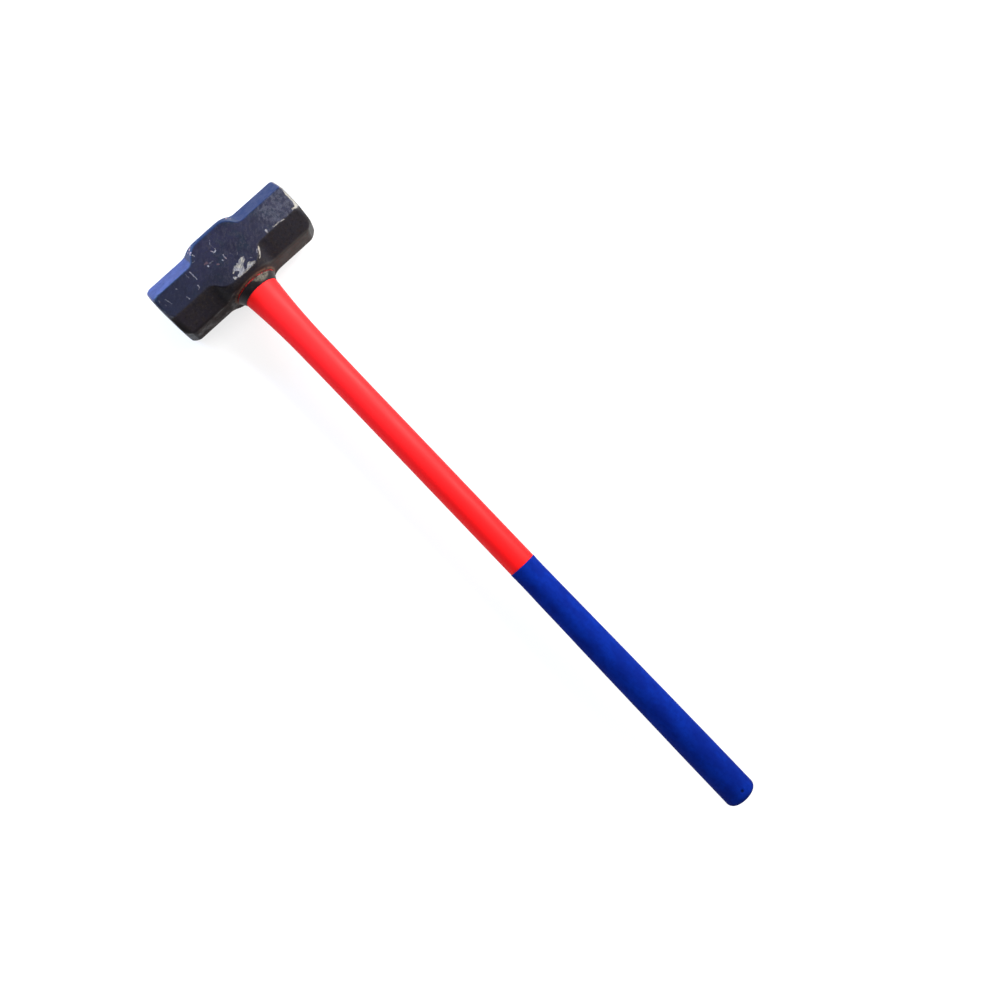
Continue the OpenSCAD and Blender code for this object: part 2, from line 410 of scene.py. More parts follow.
# knocks on the edges of the run-outs: x, y, radius
SPOTS = [(-32.0, -27.5, 1.7), (-31.5, -31.0, 1.4), (-27.0, -28.8, 1.1), (-23.5, -29.4, 0.9), (-34.0, -24.5, 1.2),
         (-32.5, 27.5, 1.3), (-30.0, 31.0, 0.9)]


def outline(p, points):
    """Signed distance from each point of p to a closed outline, negative inside it."""
    d, inside = np.full(len(p), 99.0), np.zeros(len(p), bool)
    for a, b in zip(points, points[1:] + points[:1]):
        d = np.minimum(d, capsule(p, a, b, 0.0))
        (ax, ay), (bx, by) = a, b
        if ay != by:
            cross = (ay > p[:, 1]) != (by > p[:, 1])
            inside ^= cross & (p[:, 0] < (bx - ax) * (p[:, 1] - ay) / (by - ay) + ax)
    return np.where(inside, -d, d)


def head_chips(p):
    """Distance to the nearest bare mark, in millimetres, negative inside one."""
    out = np.full(len(p), 9.0)
    up = p[:, 2] > 24
    q = p[up]
    q = q[:, :2] + 1.1 * np.stack((fbm(q, 4.2, 31.0, 2), fbm(q, 4.2, 47.0, 2)), 1)
    d = np.full(len(q), 9.0)
    for x1, y1, x2, y2, h in CHIPS:
        d = np.minimum(d, capsule(q, (x1, y1), (x2, y2), h * (1.0 if h > 1.4 else 0.85)))
    q = p[up]
    q = q[:, :2] + 0.35 * np.stack((fbm(q, 2.6, 31.0, 2), fbm(q, 2.6, 47.0, 2)), 1)
    for points in PATCHES:
        near = np.abs(q - np.mean(points, 0)).max(1) < 30
        d[near] = np.minimum(d[near], outline(q[near], points))
    out[up] = d + np.maximum(0, 34 - p[up][:, 2])
    for x, y, r in SPOTS:
        z = min(H, runout(np.array([x]), np.array([y]))[0][0] * math.sqrt(2) - abs(x))
        out = np.minimum(out, np.sqrt(((p - np.array((x, y, z))) ** 2).sum(1)) - r)
    # like marks, scattered, on the sides that the picture doesn't show
    r = np.random.default_rng(21)
    for i in range(78):
        side = r.integers(0, 5)
        y = r.uniform(-92, 92)
        a = r.uniform(-24, 24) if abs(y) < 22 else r.uniform(-14, 14)
        t = r.normal(1.2, 0.7)
        ln, h = r.uniform(0.5, 5.5), r.uniform(0.3, 0.95)
        u = np.array((math.cos(t), math.sin(t))) * ln / 2
        if side == 0:                      # lower cheek
            sel, q = p[:, 2] < -30, p[:, :2]
        elif side == 1:                    # top of the head
            sel, q = p[:, 0] < -30, p[:, 2:0:-1]
        elif side == 2:                    # underside
            sel, q = (p[:, 0] > 30) & (np.abs(p[:, 1]) > 30) & (p[:, 2] < -6), p[:, 2:0:-1]
        else:                              # the chamfers away from the camera
            sg = 1 if side == 3 else -1
            sel = (p[:, 2] < -10) & (p[:, 0] * sg > 10)
            q = np.stack(((p[:, 0] * sg + p[:, 2]) / math.sqrt(2), p[:, 1]), 1)
            a = a * 0.7
        c = np.array((a, y))
        dd = capsule(q[sel], c - u, c + u, h)
        out[sel] = np.minimum(out[sel], dd)
    return out


def build_head():
    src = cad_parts["sledge_head"]
    ob = bpy.data.objects.new("head_work", src.data.copy())
    scene.collection.objects.link(ob)
    mod = ob.modifiers.new("remesh", "REMESH")
    mod.mode = "VOXEL"
    mod.voxel_size = 0.00089
    mod.adaptivity = 0.0
    dg = bpy.context.evaluated_depsgraph_get()
    me = bpy.data.meshes.new_from_object(ob.evaluated_get(dg))
    bpy.data.objects.remove(ob)
    n = len(me.vertices)
    p = np.zeros(n * 3)
    me.vertices.foreach_get("co", p)
    p = p.reshape(-1, 3) * 1000.0
    p[:, 2] -= AXIS_Z
    e = np.zeros(len(me.edges) * 2, np.int64)
    me.edges.foreach_get("vertices", e)
    e = e.reshape(-1, 2)
    count = np.bincount(e.ravel(), minlength=n)[:, None]
    dents = dents_near(p)
    for turn in range(7):
        for i in range(2 if 0 < turn < 6 else 4):
            f = head_field(p, dents)
            g = head_gradient(p, f, dents)
            step = f[:, None] * g / np.maximum((g * g).sum(1), 0.2)[:, None]
            size = np.sqrt((step ** 2).sum(1))
            step *= np.minimum(1.0, 0.8 / np.maximum(size, 1e-9))[:, None]
            p = p - step
        if turn == 6:
            break
        mean = np.zeros_like(p)
        for k in range(3):
            mean[:, k] = (np.bincount(e[:, 0], p[e[:, 1], k], n)
                          + np.bincount(e[:, 1], p[e[:, 0], k], n))
        mean /= count
        shift = (mean - p) * 0.5
        nrm = g / np.sqrt((g * g).sum(1))[:, None]
        p = p + shift - nrm * (shift * nrm).sum(1)[:, None]
    faces = [tuple(f.vertices) for f in me.polygons]
    bpy.data.meshes.remove(me)
    # inside the CAD box, exactly
    p[:, 2] = np.clip(p[:, 2], -H, H)
    p[:, 0] = np.clip(p[:, 0], -H, BOSS_X)
    p[:, 1] = np.clip(p[:, 1], -L2, L2)
    head = made("forged_head", p, faces)
    flats, long_chamfer, crown, rim, ground = head_parts(p)
    side = np.maximum(flats, long_chamfer)
    put_attribute(head, "edge_mm", np.clip(np.abs(flats - long_chamfer) * 1.4, 0, 8))
    nrm = np.zeros(len(p) * 3)
    head.data.vertices.foreach_get("normal", nrm)
    nrm = nrm.reshape(-1, 3)
    put_attribute(head, "low_side", nrm[:, 0])
    # painted sky reflection: the flat part of the two chamfers towards the top, short of the run-outs, and the block's
    # upper edge
    sky_reflection_mask = np.where(p[:, 1] < 0, -p[:, 1] - 36.5, p[:, 1] - 36.0 + 7.0 * np.clip((-p[:, 0] - 16) / 19, 0, 1))
    sky_reflection_mask = np.clip(sky_reflection_mask / 1.6, 0, 1) * np.clip((0.92 - np.abs(nrm[:, 2])) / 0.1, 0, 1)
    sky_reflection_mask *= np.clip((-nrm[:, 0] - 0.35) / 0.15, 0, 1)
    block_edge_reflection = np.clip((38.0 - np.abs(p[:, 1])) / 6.0, 0, 1) * np.clip((-nrm[:, 0] - 0.06) / 0.45, 0, 1)
    sky_reflection_mask = np.maximum(sky_reflection_mask, 0.9 * block_edge_reflection)
    put_attribute(head, "painted_sky_reflection", sky_reflection_mask)
    rims = np.maximum(rim, ground)
    bias = -0.9 + 1.1 * fbm(p, 21.0, 6.1)
    up = np.clip((p[:, 2] - 22) / 8, 0, 1)
    bias += up * 1.75 * np.exp(-((p[:, 0] - 4) / 12.5) ** 4) * (p[:, 1] > 0)
    bias += up * 1.1 * np.exp(-((p[:, 0] - 7) / 9) ** 4) * (p[:, 1] < 0)
    put_attribute(head, "rim_mm", np.clip(rims - side, -8, 8) + np.clip(bias, -3, 0.9))
    put_attribute(head, "face_mm", np.clip(crown - np.maximum(side, rims), -8, 8))
    put_attribute(head, "chip_mm", np.clip(head_chips(p), -3, 6))
    put_attribute(head, "upper", np.clip((p[:, 2] - 33.0) / 1.5, 0, 1))
    near = np.full(len(p), 6.0)
    for c, size in DENTS:
        near = np.minimum(near, np.sqrt(((p - c) ** 2).sum(1)) - size)
    put_attribute(head, "dent_mm", np.clip(near, -1, 6))
    r = np.hypot(p[:, 1], p[:, 2])
    foot = np.hypot(r - BOSS_R - 0.5, p[:, 0] - UNDER_X - 0.3)
    put_attribute(head, "foot_mm", np.clip(foot, 0, 12))
    eye = np.where(p[:, 0] < 0, np.hypot(np.maximum(r - EYE_TOP_R - 1.5, 0), np.maximum(p[:, 0] + H, 0)), 12.0)
    put_attribute(head, "eye_mm", np.clip(eye, 0, 12))
    return head


# ------------------------------------------------------------------ turned and moulded pieces
def flare_r(x):
    end = NECK_X + 93.0
    k = SHAFT_R + 0.35
    return k + (NECK_R - k) * ((end - x) / (end - NECK_X)) ** 2


def build_jacket():
    x1 = COLLAR_X0
    pts = [(BOSS_X + 0.02, CORE_R, 0), (BOSS_X + 0.02, FLANGE_R, 0.5), (x1, FLANGE_R, 0.35),
           (x1, NECK_R - 2.0, 0), (NECK_X, NECK_R - 2.0, 0), (NECK_X, NECK_R, 0.35)]
    n = 40
    end = NECK_X + 93.0
    for i in range(1, n + 1):
        x = NECK_X + (end - NECK_X) * i / n
        pts.append((x, flare_r(x), 0))
    slim = NECK_X + 165.0
    pts += [(x, SHAFT_R + 0.35 * (1 - t) ** 1.5, 0) for x, t in
            ((end + (slim - end) * t, t) for t in (0.2, 0.4, 0.6, 0.8, 1.0))]
    pts += [(GRIP_X, SHAFT_R, 0.35), (GRIP_X, TAIL_R, 0), (CORE_END_X, TAIL_R, 0), (CORE_END_X, CORE_R, 0)]
    path = resampled(filleted(pts), 2.6, closed=True)
    v, f = turned("jacket", path, 144, closed=True)
    r = np.hypot(v[:, 1], v[:, 2])
    # slight waves of a long moulding, only on the free shaft
    free = np.clip((v[:, 0] - NECK_X - 4) / 20, 0, 1) * np.clip((GRIP_X - 3 - v[:, 0]) / 20, 0, 1)
    free *= (r > SHAFT_R - 0.6)
    q = v * np.array((0.25, 1.0, 1.0))
    wave = 0.07 * fbm(q, 16.0, 3.1)
    k = (r + wave * free) / np.maximum(r, 1e-6)
    v[:, 1] *= k
    v[:, 2] *= k
    return made("moulded_jacket", v, f)


def build_collar():
    x0, x1 = COLLAR_X0 + 0.02, NECK_X
    r1 = FLANGE_R
    pts = [(x0, NECK_R - 2.0, 0), (x0, r1, 0.4)]
    for i in range(2, 21):
        x = x0 + (x1 - x0) * i / 20
        pts.append((x, NECK_R + 0.25 + (r1 - NECK_R - 0.25) * (x1 - x) / (x1 - x0), 0))
    pts += [(x1, NECK_R - 2.0, 0)]
    path = resampled(filleted(pts), 0.7, closed=True)
    v, f = turned("collar", path, 192, closed=True)
    r = np.hypot(v[:, 1], v[:, 2])
    # a moulded lip, and the unevenness of a soft ring pressed into its groove
    outer = np.clip((r - NECK_R - 0.1) / 0.3, 0, 1)
    wave = outer * (0.09 * fbm(v, 8.0, 8.4) - 0.06 - 0.16 * np.exp(-((v[:, 0] - x0 - 2.1) / 0.5) ** 2))
    k = (r + wave) / r
    v[:, 1] *= k
    v[:, 2] *= k
    return made("moulded_collar", v, f)


def swell_r(u):
    return SHAFT_R + 0.1 + (GRIP_R - SHAFT_R - 0.1) * (1 - (1 - u) ** 1.45)


def build_grip():
    e = 7.0
    x0, x1 = GRIP_X + 16.0, END_X - e
    pts = [(CORE_END_X, 0.0, 0), (CORE_END_X, TAIL_R, 0), (GRIP_X + 0.02, TAIL_R, 0),
           (GRIP_X + 0.02, SHAFT_R + 0.35, 0.45)]
    n = 60
    for i in range(n):
        u = i / n
        pts.append((x0 + (x1 - x0) * u, swell_r(u), 0))
    for i in range(0, 15):
        t = math.radians(90.0 * i / 14)
        pts.append((x1 + e * math.sin(t), GRIP_R - e + e * math.cos(t), 0))
    pts.append((END_X, 0.0, 0))
    path = resampled(filleted(pts), 2.2)
    fine = []
    for a, b in zip(path[:-1], path[1:]):        # finer round the gate mark
        n = 5 if 842 < a[0] < 857 and min(a[1], b[1]) > 17 and b[0] > a[0] else 1
        fine += [a + (b - a) * i / n for i in range(n)]
    path = fine + [path[-1]]
    v, f = turned("grip", path, 168)
    r = np.hypot(v[:, 1], v[:, 2])
    outer = (r > SHAFT_R - 0.4) & (v[:, 0] > GRIP_X + 1)
    outer = outer * np.clip((v[:, 0] - GRIP_X - 1) / 6, 0, 1)
    wave = (0.13 * fbm(v * np.array((0.45, 1, 1)), 15.0, 5.7) - 0.10 +
            0.05 * fbm(v * np.array((0.7, 1, 1)), 5.0, 1.9)) * outer
    k = (r + wave) / np.maximum(r, 1e-6)
    v[:, 1] *= k
    v[:, 2] *= k
    # the moulding's gate mark near the end
    g = np.array((851.5, 2.2, math.sqrt(GRIP_R ** 2 - 2.2 ** 2)))
    d = np.sqrt(((v - g) ** 2).sum(1))
    dip = 0.7 * np.exp(-(d / 1.9) ** 4) + 0.12 * np.exp(-((d - 3.0) / 1.0) ** 2) * -1.0
    n = v * np.array((0, 1, 1))
    n = n / np.maximum(np.sqrt((n ** 2).sum(1)), 1e-6)[:, None]
    v = v - n * (dip * (r > 10))[:, None]
    ob = made("moulded_grip", v, f)
    put_attribute(ob, "gate_mm", np.clip(d, 0, 12))
    return ob


def build_bond():
    top = -H + BOND_SINK
    pts = [(top + 0.35, 0.0, 0), (top + 0.45, 8.0, 0), (top + 0.4, EYE_TOP_R - 2.5, 0), (top + 0.1, EYE_TOP_R - 0.6, 0),
           (top - 0.1, EYE_TOP_R + 0.35, 0), (-H + 1.5, EYE_TOP_R - 0.02, 0), (SEAT_X, EYE_R - 0.02, 0),
           (SEAT_X, CORE_R, 0), (CORE_TOP_X, CORE_R, 0), (CORE_TOP_X, 0.0, 0)]
    path = resampled(filleted(pts), 0.9)
    v, f = turned("bond", path, 128)
    on_top = (v[:, 0] < top + 0.9)
    v[:, 0] += on_top * (0.16 * fbm(v, 7.0, 2.2) + 0.05 * fbm(v, 2.0, 4.4)) + on_top * 0.1
    # a few burst bubbles in the cast surface
    r = np.random.default_rng(12)
    for i in range(17):
        t, q = r.uniform(0, 2 * math.pi), 17.0 * math.sqrt(r.uniform(0.02, 1))
        s = r.uniform(0.45, 1.25)
        d = np.hypot(v[:, 1] - q * math.sin(t), v[:, 2] - q * math.cos(t))
        v[:, 0] += on_top * 0.5 * s * np.exp(-(d / s) ** 2)
    return made("cast_bond", v, f)


# ------------------------------------------------------------------ materials
class Tree:
    """A short way to write node trees. Values may be numbers, colours or sockets."""

    def __init__(self, name):
        self.mat = bpy.data.materials.new(name)
        self.mat.use_nodes = True
        self.t = self.mat.node_tree
        self.t.nodes.clear()
        self.out = self.t.nodes.new("ShaderNodeOutputMaterial")
        self.bsdf = self.t.nodes.new("ShaderNodeBsdfPrincipled")
        self.t.links.new(self.bsdf.outputs["BSDF"], self.out.inputs["Surface"])
        self.coord = self.t.nodes.new("ShaderNodeTexCoord").outputs["Object"]

    def put(self, socket, value):
        if isinstance(value, bpy.types.NodeSocket):
            self.t.links.new(value, socket)
        elif value is not None:
            if hasattr(value, "__len__") and socket.type == "RGBA" and len(value) == 3:
                value = (*value, 1.0)
            socket.default_value = value

    def set(self, **kw):
        for k, v in kw.items():
            self.put(self.bsdf.inputs[k.replace("_", " ")], v)

    def math(self, op, a, b=None, c=None, clamp=False):
        n = self.t.nodes.new("ShaderNodeMath")
        n.operation = op
        n.use_clamp = clamp
        for i, v in enumerate((a, b, c)):
            if v is not None:
                self.put(n.inputs[i], v)
        return n.outputs[0]

    def add(self, a, b): return self.math("ADD", a, b)
    def sub(self, a, b): return self.math("SUBTRACT", a, b)
    def mul(self, a, b): return self.math("MULTIPLY", a, b)
    def high(self, a, b): return self.math("MAXIMUM", a, b)
    def low(self, a, b): return self.math("MINIMUM", a, b)

    def ramp(self, v, a, b, lo=0.0, hi=1.0, kind="SMOOTHSTEP"):
        """v from a..b to lo..hi, clamped."""
        n = self.t.nodes.new("ShaderNodeMapRange")
        n.interpolation_type = kind
        n.clamp = True
        for i, q in enumerate((v, a, b, lo, hi)):
            self.put(n.inputs[i], q)
        return n.outputs[0]

    def mix(self, f, a, b):
        n = self.t.nodes.new("ShaderNodeMix")
        n.data_type = "RGBA"
        self.put(n.inputs[0], f)
        self.put(n.inputs[6], a)
        self.put(n.inputs[7], b)
        return n.outputs[2]

    def stretched(self, scale):
        n = self.t.nodes.new("ShaderNodeMapping")
        self.t.links.new(self.coord, n.inputs["Vector"])
        n.inputs["Scale"].default_value = scale
        return n.outputs[0]

    def slanted(self, angle, stretch):
        """Coordinates drawn out along a line that lies `angle` degrees off the y axis."""
        x, y, z = self.xyz()
        c, s = math.cos(math.radians(angle)), math.sin(math.radians(angle))
        n = self.t.nodes.new("ShaderNodeCombineXYZ")
        self.put(n.inputs[0], self.add(self.mul(x, c), self.mul(y, s)))
        self.put(n.inputs[1], self.mul(self.sub(self.mul(y, c), self.mul(x, s)), stretch))
        self.put(n.inputs[2], z)
        return n.outputs[0]

    def noise(self, size, detail=2.0, rough=0.5, vector=None, distortion=0.0):
        """Noise with features about `size` millimetres across."""
        n = self.t.nodes.new("ShaderNodeTexNoise")
        self.put(n.inputs["Vector"], vector or self.coord)
        n.inputs["Scale"].default_value = 1000.0 / size
        n.inputs["Detail"].default_value = detail
        n.inputs["Roughness"].default_value = rough
        n.inputs["Distortion"].default_value = distortion
        return n.outputs[0]

    def cells(self, size, vector=None, feature="F1"):
        n = self.t.nodes.new("ShaderNodeTexVoronoi")
        n.feature = feature
        self.put(n.inputs["Vector"], vector or self.coord)
        n.inputs["Scale"].default_value = 1000.0 / size
        return n.outputs["Distance"]

    def strokes(self, marks, vector):
        """How strongly each point is marked by short strokes, given as ends, half width and strength."""
        out = None
        for x1, y1, x2, y2, half, strength in marks:
            n = self.t.nodes.new("ShaderNodeMapping")
            n.vector_type = "TEXTURE"
            self.put(n.inputs["Vector"], vector)
            n.inputs["Location"].default_value = ((x1 + x2) / 2000, (y1 + y2) / 2000, 0)
            n.inputs["Rotation"].default_value = (0, 0, math.atan2(y2 - y1, x2 - x1))
            n.inputs["Scale"].default_value = (0.001, 0.001, 1000)
            v = n.outputs[0]
            for op, q in (("ABSOLUTE", None), ("SUBTRACT", (math.hypot(x2 - x1, y2 - y1) / 2, 0, 0)),
                          ("MAXIMUM", (0, 0, 0)), ("LENGTH", None)):
                n = self.t.nodes.new("ShaderNodeVectorMath")
                n.operation = op
                self.put(n.inputs[0], v)
                if q:
                    n.inputs[1].default_value = q
                v = n.outputs["Value" if op == "LENGTH" else "Vector"]
            v = self.ramp(v, half + 0.34, max(half - 0.32, 0.0), 0.0, strength)
            out = v if out is None else self.high(out, v)
        return out

    def shaken(self, size, by):
        """The coordinates, moved about by noise, both in millimetres."""
        n = self.t.nodes.new("ShaderNodeTexNoise")
        self.put(n.inputs["Vector"], self.coord)
        n.inputs["Scale"].default_value = 1000.0 / size
        v = n.outputs["Color"]
        for op, q in (("SUBTRACT", (0.5, 0.5, 0.5)), ("MULTIPLY", (by * 0.002,) * 3), ("ADD", None)):
            n = self.t.nodes.new("ShaderNodeVectorMath")
            n.operation = op
            self.put(n.inputs[0], v)
            self.put(n.inputs[1], q or self.coord)
            v = n.outputs["Vector"]
        return v

    def attr(self, name):
        n = self.t.nodes.new("ShaderNodeAttribute")
        n.attribute_name = name
        return n.outputs["Fac"]

    def xyz(self):
        n = self.t.nodes.new("ShaderNodeSeparateXYZ")
        self.t.links.new(self.coord, n.inputs[0])
        return n.outputs[0], n.outputs[1], n.outputs[2]

    def normal(self):
        n = self.t.nodes.new("ShaderNodeNewGeometry")
        s = self.t.nodes.new("ShaderNodeSeparateXYZ")
        self.t.links.new(n.outputs["Normal"], s.inputs[0])
        return s.outputs[0], s.outputs[1], s.outputs[2]

    def bump(self, height_mm, strength=1.0):
        n = self.t.nodes.new("ShaderNodeBump")
        n.inputs["Strength"].default_value = strength
        n.inputs["Distance"].default_value = 0.001
        self.put(n.inputs["Height"], height_mm)
        self.t.links.new(n.outputs[0], self.bsdf.inputs["Normal"])


def head_material():
    m = Tree("navy_lacquer_on_forged_steel")
    x, y, z = m.xyz()
    broad = m.noise(34, 2.0, 0.5)
    mid = m.noise(7.0, 3.0, 0.55)
    fine = m.noise(1.9, 3.0, 0.6)
    grain = m.noise(0.8, 2.0, 0.6)
    # lacquer
    paint = m.mix(m.ramp(broad, 0.35, 0.65), (0.0044, 0.0040, 0.0128), (0.0078, 0.0070, 0.0200))
    paint = m.mix(m.ramp(mid, 0.45, 0.75, 0.0, 0.5), paint, (0.011, 0.012, 0.026))
    # teal and plum casts in the lacquer, and its rough grain, stronger away from the -Y end
    paint = m.mix(m.ramp(m.noise(15, 2.0, 0.5), 0.50, 0.66, 0.0, 0.6), paint, (0.0030, 0.0080, 0.0150))
    paint = m.mix(m.ramp(m.noise(19, 2.0, 0.55), 0.52, 0.66, 0.0, 0.5), paint, (0.0095, 0.0070, 0.0190))
    paint = m.mix(m.ramp(y, -0.015, -0.080, 0.0, 0.8), paint, (0.0034, 0.0042, 0.0130))
    paint = m.mix(m.ramp(m.noise(4.6, 4.0, 0.65), 0.50, 0.66, 0.0, 0.6), paint, (0.0025, 0.0028, 0.0085))
    deep = m.mul(m.ramp(x, 0.002, 0.014), m.mul(m.ramp(y, -0.004, -0.016), m.ramp(y, -0.062, -0.042)))
    paint = m.mix(m.mul(deep, 0.62), paint, (0.0018, 0.0022, 0.0075))
    rubbed = m.slanted(46.0, 0.45)
    grit = m.mul(m.ramp(m.noise(2.0, 3.0, 0.7, vector=rubbed), 0.46, 0.64, 0.0, 0.85), m.ramp(y, -0.06, 0.02, 0.30, 1.0))
    paint = m.mix(grit, paint, (0.0168, 0.0158, 0.0240))
    # painted sky reflection: lighter, bluer lacquer on the chamfers towards the top, brightest towards the -Y end
    painted_sky_reflection = m.attr("painted_sky_reflection")
    blue = m.mix(m.ramp(m.noise(7.0, 4.0, 0.65, vector=m.slanted(-20.0, 0.5)), 0.36, 0.64), (0.0205, 0.0275, 0.088), (0.030, 0.041, 0.118))
    blue = m.mix(m.ramp(y, -0.04, 0.05), blue, (0.0018, 0.0104, 0.044))
    blue = m.mix(m.ramp(m.math("ABSOLUTE", y), 0.039, 0.031), blue, (0.0020, 0.0125, 0.044))
    blue = m.mix(m.ramp(m.noise(5.0, 4.0, 0.65), 0.46, 0.68, 0.0, 0.45), blue, (0.006, 0.013, 0.050))
    paint = m.mix(painted_sky_reflection, paint, blue)
    # painted shade and greasy grime on the sides that face the handle: darker lacquer, with brown and dark mottles
    grime_and_shade = m.ramp(m.add(m.attr("low_side"), m.mul(m.sub(mid, 0.5), 0.12)), 0.22, 0.42)
    paint = m.mix(m.mul(grime_and_shade, m.ramp(m.noise(12, 3.0, 0.6), 0.30, 0.65, 0.75, 0.95)), paint, m.mix(m.ramp(m.noise(4.5, 4.0, 0.7), 0.44, 0.68), m.mix(m.ramp(y, 0.02, 0.09), m.mix(m.ramp(y, -0.035, -0.085), (0.0074, 0.0062, 0.0082), (0.0112, 0.0088, 0.0118)), (0.0125, 0.0114, 0.0140)), (0.0128, 0.0094, 0.0082)))
    paint = m.mix(m.mul(grime_and_shade, m.ramp(m.noise(2.6, 4.0, 0.7), 0.50, 0.66, 0.0, 0.55)), paint, (0.0215, 0.0180, 0.0190))
    paint = m.mix(m.mul(grime_and_shade, m.ramp(m.noise(3.4, 4.0, 0.7), 0.52, 0.66, 0.0, 0.55)), paint, (0.0020, 0.0018, 0.0024))
    # worn grain: pale specks, thick towards the +Y end of the cheeks
    towards = m.ramp(y, 0.008, 0.088, 0.0, 1.0)
    patch = m.ramp(m.noise(6, 4.0, 0.7), 0.36, 0.60)
    worn = m.high(m.mul(towards, m.ramp(patch, 0.0, 1.0, 0.35, 1.0)), m.mul(patch, 0.34))
    spot = m.add(m.math("POWER", m.mul(m.add(x, 0.001), 100), 2.0), m.math("POWER", m.mul(m.sub(y, 0.070), 100), 2.0))
    worn = m.add(worn, m.mul(m.ramp(spot, 1.9, 0.1), m.ramp(patch, 0.0, 1.0, 0.15, 0.60)))
    worn = m.mul(m.mul(worn, m.ramp(grime_and_shade, 0.0, 1.0, 1.0, 0.25)), m.ramp(painted_sky_reflection, 0.0, 1.0, 1.0, 0.3))
    coarse = m.noise(2.0, 4.0, 0.75, vector=rubbed)
    limit = m.ramp(worn, 0.0, 1.0, 0.78, 0.47)
    speck = m.ramp(m.sub(m.add(m.mul(coarse, 0.55), m.mul(grain, 0.45)), limit), -0.12, 0.16)
    speck = m.mul(speck, m.ramp(worn, 0.02, 0.5, 0.35, 0.85))
    paint = m.mix(speck, paint, (0.047, 0.046, 0.060))
    paint = m.mix(m.mul(m.mul(towards, m.sub(1.0, m.high(painted_sky_reflection, grime_and_shade))), 0.16), paint, (0.050, 0.050, 0.062))
    # dust and grease on the underside, round the handle, with a painted reflection of brown ground: browner and lighter
    # towards the +Y end
    under = m.ramp(x, 0.0335, 0.0362)
    dust = m.mul(under, m.ramp(m.noise(16, 3.0, 0.6), 0.30, 0.62, m.ramp(y, -0.03, 0.05, 0.40, 0.75), 1.0))
    paint = m.mix(dust, paint, m.mix(m.ramp(y, -0.03, 0.06), (0.0050, 0.0034, 0.0042), (0.0328, 0.0294, 0.0272)))
    dust = m.high(dust, m.mul(under, 0.5))
    # bare steel: chips, rims, edges, striking faces
    chip = m.add(m.attr("chip_mm"), m.mul(m.sub(m.noise(2.6, 4.0, 0.75, vector=m.slanted(27.0, 0.40)), 0.5), 2.4))
    chips = m.ramp(chip, 0.15, -0.40)
    rim = m.add(m.attr("rim_mm"), m.mul(m.sub(m.noise(4.0, 3.0, 0.65), 0.5), 1.1))
    rims = m.mul(m.ramp(rim, 0.10, 0.75), m.ramp(grime_and_shade, 0.0, 1.0, m.ramp(y, -0.02, 0.02, 0.22, 1.0), 0.06))
    # painted shade and grime: darker lacquer next to the rims on the sides that face the handle
    paint = m.mix(m.mul(m.mul(m.ramp(rim, 0.0, 0.7), grime_and_shade), 0.8), paint, (0.0045, 0.0036, 0.0044))
    face = m.add(m.attr("face_mm"), m.mul(m.sub(m.noise(6.0, 4.0, 0.65), 0.5), 2.4))
    faces = m.ramp(face, -0.2, 0.35)
    edge = m.add(m.attr("edge_mm"), m.mul(m.noise(4.5, 4.0, 0.7), 3.6))
    edges = m.mul(m.ramp(edge, 1.42, 1.22), m.mul(m.ramp(m.noise(19, 2.0), 0.46, 0.58), m.ramp(grime_and_shade, 0.0, 1.0, 1.0, 0.35)))
    edges = m.mul(edges, m.ramp(x, 0.027, 0.034, 1.0, 0.35))
    # streaks of lacquer left across the larger bare patches
    drawn = m.slanted(27.0, 0.22)
    left = m.noise(2.1, 4.0, 0.7, vector=drawn)
    chips = m.mul(chips, m.ramp(m.add(left, m.mul(m.sub(m.noise(7.0, 2.0), 0.5), 0.45)), 0.33, 0.47, 0.08, 1.0))
    corner = m.mul(m.ramp(x, 0.016, 0.024), m.ramp(y, -0.088, -0.0925))
    bare = m.mul(m.high(m.high(chips, rims), m.high(faces, edges)), m.ramp(corner, 0.0, 1.0, 1.0, 0.15))
    paint = m.mix(m.mul(corner, 0.8), paint, (0.0030, 0.0024, 0.0028))
    steel = m.mix(m.ramp(m.noise(1.8, 4.0, 0.75, vector=drawn), 0.36, 0.60), (0.070, 0.066, 0.074),
                  m.mix(m.ramp(m.noise(6.0, 2.0), 0.42, 0.58), (0.250, 0.226, 0.178), (0.190, 0.181, 0.180)))
    steel = m.mix(m.mul(rims, 0.7), steel, (0.128, 0.126, 0.116))
    steel = m.mix(m.mul(painted_sky_reflection, m.sub(1.0, m.high(rims, faces))), steel, (0.40, 0.22, 0.18))
    steel = m.mix(m.mul(faces, m.ramp(m.noise(8.5, 4.0, 0.6), 0.35, 0.7)), steel, (0.11, 0.096, 0.082))
    # thin rusty fringe round each chip, and the worn ochre line at the boss's foot
    fringe = m.mul(m.ramp(chip, 0.9, 0.15), m.ramp(m.noise(5.0, 2.0), 0.45, 0.6))
    paint = m.mix(m.mul(fringe, 0.35), paint, (0.045, 0.030, 0.028))
    foot = m.mul(m.ramp(m.attr("foot_mm"), 1.3, 0.4), m.ramp(m.noise(9.0, 3.0, 0.6), 0.42, 0.62))
    paint = m.mix(m.mul(foot, 0.7), paint, (0.060, 0.030, 0.018))
    ring = m.mul(m.ramp(x, 0.0362, 0.0374), m.ramp(m.noise(6.0, 4.0, 0.65), 0.36, 0.60, 0.15, 0.95))
    paint = m.mix(ring, paint, (0.085, 0.040, 0.026))
